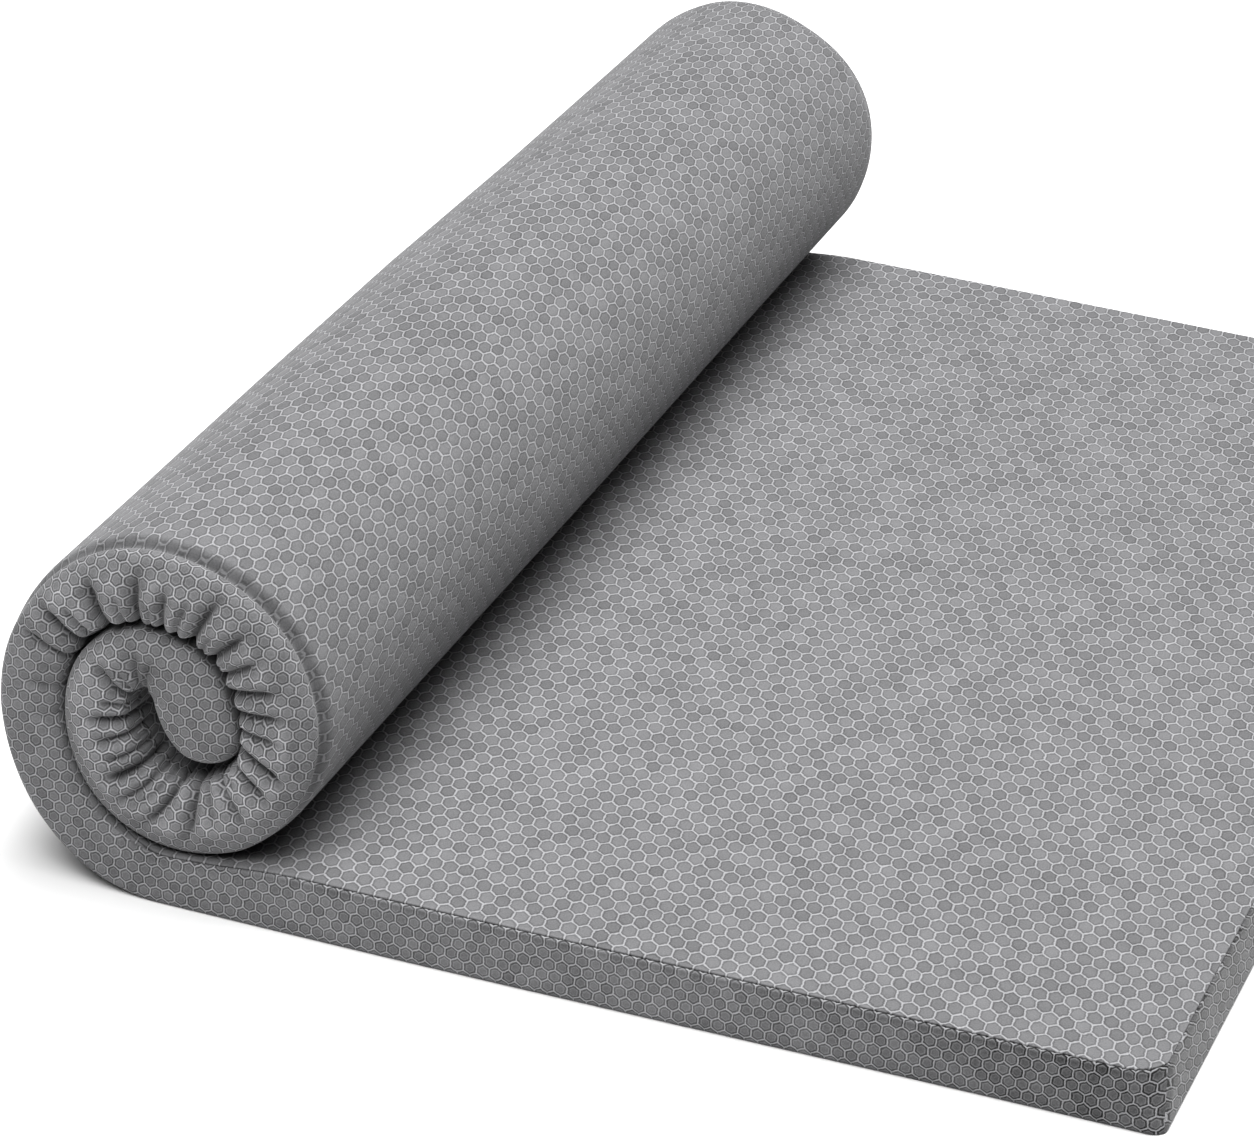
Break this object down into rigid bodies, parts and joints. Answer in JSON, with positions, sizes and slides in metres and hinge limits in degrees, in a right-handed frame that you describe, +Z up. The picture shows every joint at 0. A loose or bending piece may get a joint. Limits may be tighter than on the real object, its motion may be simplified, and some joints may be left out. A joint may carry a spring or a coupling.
{
  "type": "foam mattress",
  "caption": "Thin foam mattress in a grey hexagon-patterned fabric cover, lying flat at the foot end with the rest rolled up over itself.",
  "frame": {"origin": "middle of the outline seen from above, at the surface that the mattress lies on", "axes": "+Z up, +Y along the width of the mattress and the axis of the roll, +X from the roll along the flat part to the foot end"},
  "size_m": [0.937, 1.36, 0.2968],
  "materials": {
    "cover": "matt grey knitted cover with a fine light hexagon lattice all over"
  },
  "bodies": {
    "root": {"mattress": "cover"}
  },
  "joints": []
}
